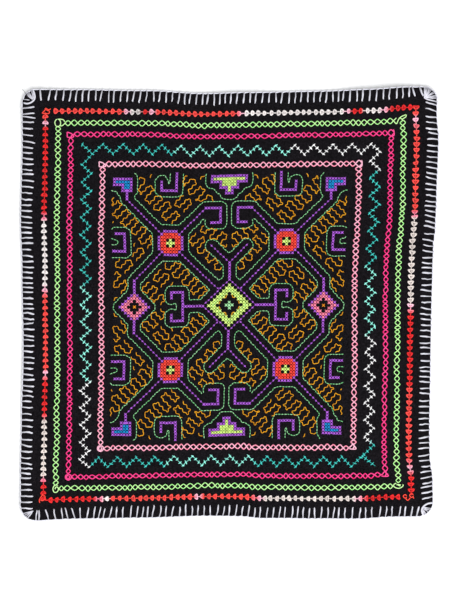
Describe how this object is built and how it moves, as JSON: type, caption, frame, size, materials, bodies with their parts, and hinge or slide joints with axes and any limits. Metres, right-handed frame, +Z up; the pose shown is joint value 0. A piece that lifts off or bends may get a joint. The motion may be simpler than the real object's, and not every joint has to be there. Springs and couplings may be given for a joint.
{
  "type": "embroidered cloth",
  "caption": "Nearly square black cotton cloth lying flat, with framing rows of bright hand stitching round an embroidered panel and a blanket-stitched edge, to cover or decorate a table.",
  "frame": {"origin": "on the surface under the middle of the cloth, at the bottom centre of its box", "axes": "+Z up from the surface through the face, +Y towards the top of the design, +X towards its right"},
  "size_m": [0.4038, 0.4182, 0.0081],
  "materials": {
    "black_cotton": "matte plain weave, embroidered in coloured yarn",
    "white_yarn": "matte spun yarn"
  },
  "bodies": {
    "root": {"cloth": "black_cotton", "edging": "white_yarn"}
  },
  "joints": []
}
